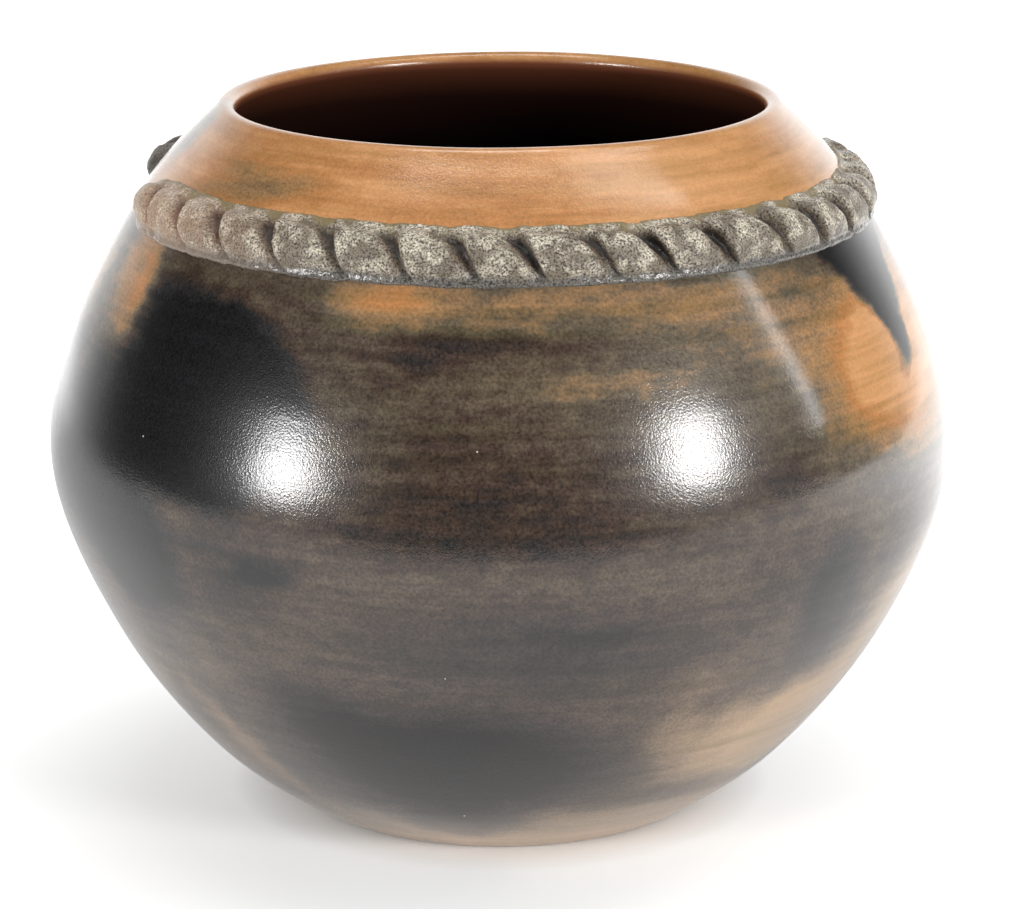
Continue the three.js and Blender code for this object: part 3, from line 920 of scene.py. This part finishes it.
# The first lobes, by their share of the band's length, were fired cleaner: warmer clay, fewer
# dark specks and orange pitch. The last one is sooty.
FIRST_FULL = 0.04
FIRST_END = 0.17
FIRST_SHARE = 0.75
WARM_CLAY = "#D0AC8E"
WARM_PITCH = "#8A5230"
WARM_FLANGE = "#B29C88"
FEW_SPECKS = 0.5
FEW_SPECKS_FULL = 0.03
FEW_SPECKS_END = 0.16
ALL_SPECKS = 0.95
LAST_FROM = 0.955
LAST_FULL = 0.975
LAST_SHARE = 0.7
SOOT = "#3C3A38"
# The coat of pitch: thin on the crests, thick in the pits, and nearly so on the flange
BAND_GRAIN = 0.0003
FLANGE_GRAIN = 0.3
FLANGE_WET = 0.8
WET_FULL = 0.6
BAND_ROUGHNESS = 0.6
BAND_COAT = 0.6
BAND_COAT_ROUGHNESS = 0.12

tree = gritty.node_tree
tree.nodes.clear()
where = add_node(tree, "ShaderNodeTexCoord").outputs["Object"]
depth = add_node(tree, "ShaderNodeAttribute", attribute_name="groove_depth").outputs["Fac"]
across = add_node(tree, "ShaderNodeAttribute", attribute_name="across_band").outputs["Fac"]
along = add_node(tree, "ShaderNodeAttribute", attribute_name="along_band").outputs["Fac"]
patch = add_node(tree, "ShaderNodeTexNoise", {
    "Vector": where, "Scale": 1 / PATCH_SIZE, "Detail": 3.0})
speck = add_node(tree, "ShaderNodeTexNoise", {
    "Vector": where, "Scale": 1 / SPECK_SIZE, "Detail": 4.0})
patchy = add_node(tree, "ShaderNodeMath", (patch, 0.5), operation="SUBTRACT")

# The crests' clay, warmer at the first lobes, with white grit and dark specks
crest = add_node(tree, "ShaderNodeMath", (across, CREST_LOWER_EDGE), operation="MULTIPLY")
crest = add_node(tree, "ShaderNodeMath", (patch, crest), operation="ADD")
crest = add_node(tree, "ShaderNodeMapRange", (crest, *CREST_RANGE), interpolation_type="SMOOTHSTEP")
first = add_node(tree, "ShaderNodeMapRange", (
    along, FIRST_END, FIRST_FULL, 0.0, FIRST_SHARE), interpolation_type="SMOOTHSTEP")
grains = add_node(tree, "ShaderNodeMapRange", (
    speck, *WHITE_GRIT_RANGE), interpolation_type="SMOOTHSTEP")
grains = add_node(tree, "ShaderNodeMath", (grains, crest), operation="MULTIPLY")
dark = add_node(tree, "ShaderNodeMapRange", (
    speck, *DARK_SPECK_RANGE), interpolation_type="SMOOTHSTEP")
specks = add_node(tree, "ShaderNodeMapRange", (
    along, FEW_SPECKS_FULL, FEW_SPECKS_END, FEW_SPECKS, ALL_SPECKS),
    interpolation_type="SMOOTHSTEP")
dark = add_node(tree, "ShaderNodeMath", (dark, specks), operation="MULTIPLY")
clay = add_node(tree, "ShaderNodeMix", (
    crest, colour(GREY_CLAY), colour(PALE_CLAY)), data_type="RGBA")
for amount, code in ((first, WARM_CLAY), (grains, WHITE_GRIT), (dark, DARK_SPECK)):
    clay = add_node(tree, "ShaderNodeMix", (amount, clay, colour(code)), data_type="RGBA")

# The pitch in the pits, orange at the first lobes and black where it is deep
pit = add_node(tree, "ShaderNodeMath", (patchy, PIT_PATCHES, depth), operation="MULTIPLY_ADD")
pit = add_node(tree, "ShaderNodeMapRange", (pit, *PIT_RANGE), interpolation_type="SMOOTHSTEP")
thick = add_node(tree, "ShaderNodeMapRange", (speck, *THICK_RANGE), interpolation_type="SMOOTHSTEP")
deep = add_node(tree, "ShaderNodeMapRange", (depth, *DEEP_RANGE), interpolation_type="SMOOTHSTEP")
not_first = add_node(tree, "ShaderNodeMath", (1.0, first), operation="SUBTRACT")
deep = add_node(tree, "ShaderNodeMath", (deep, not_first), operation="MULTIPLY")
brown = add_node(tree, "ShaderNodeMix", (
    thick, colour(THIN_PITCH), colour(THICK_PITCH)), data_type="RGBA")
for amount, code in ((first, WARM_PITCH), (deep, DEEP_PITCH)):
    brown = add_node(tree, "ShaderNodeMix", (amount, brown, colour(code)), data_type="RGBA")
clay = add_node(tree, "ShaderNodeMix", (pit, clay, brown), data_type="RGBA")

# The luting flange under the crown, and the smear of clay that closes its top
edge = add_node(tree, "ShaderNodeMath", (patchy, EDGE_PATCHES), operation="MULTIPLY")
edge = add_node(tree, "ShaderNodeMath", (across, edge), operation="ADD")
flange = add_node(tree, "ShaderNodeMapRange", (
    edge, *FLANGE_RANGE), interpolation_type="SMOOTHSTEP")
pitched = add_node(tree, "ShaderNodeMapRange", (
    speck, *FLANGE_PITCH_RANGE), interpolation_type="SMOOTHSTEP")
smear = add_node(tree, "ShaderNodeMix", (
    pitched, colour(FLANGE_CLAY), colour(FLANGE_PITCH)), data_type="RGBA")
smear = add_node(tree, "ShaderNodeMix", (first, smear, colour(WARM_FLANGE)), data_type="RGBA")
clay = add_node(tree, "ShaderNodeMix", (flange, clay, smear), data_type="RGBA")
fillet = add_node(tree, "ShaderNodeMapRange", (
    edge, *TOP_SMEAR_RANGE), interpolation_type="SMOOTHSTEP")
last = add_node(tree, "ShaderNodeMapRange", (
    along, LAST_FROM, LAST_FULL, 0.0, LAST_SHARE), interpolation_type="SMOOTHSTEP")
for amount, code in ((fillet, TOP_SMEAR), (last, SOOT)):
    clay = add_node(tree, "ShaderNodeMix", (amount, clay, colour(code)), data_type="RGBA")

# The pitch is glossy where it lies thick, and the grit stands out where it is thin
wet = add_node(tree, "ShaderNodeMath", (flange, FLANGE_WET), operation="MULTIPLY")
wet = add_node(tree, "ShaderNodeMath", (wet, pit), operation="MAXIMUM")
coat = add_node(tree, "ShaderNodeMapRange", (
    wet, 0.0, WET_FULL, BAND_COAT, 1.0), interpolation_type="SMOOTHSTEP")
grain = add_node(tree, "ShaderNodeMapRange", (
    flange, 0.0, 1.0, 1.0, FLANGE_GRAIN), interpolation_type="SMOOTHSTEP")
grain = add_node(tree, "ShaderNodeBump", {
    "Height": speck, "Strength": grain, "Distance": BAND_GRAIN})
skin = add_node(tree, "ShaderNodeBsdfPrincipled", {
    "Base Color": clay, "Roughness": BAND_ROUGHNESS, "Normal": grain,
    "Coat Weight": coat, "Coat Roughness": BAND_COAT_ROUGHNESS, "Coat Normal": grain})
add_node(tree, "ShaderNodeOutputMaterial", {"Surface": skin})

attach(band, "root")
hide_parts("roped_band")
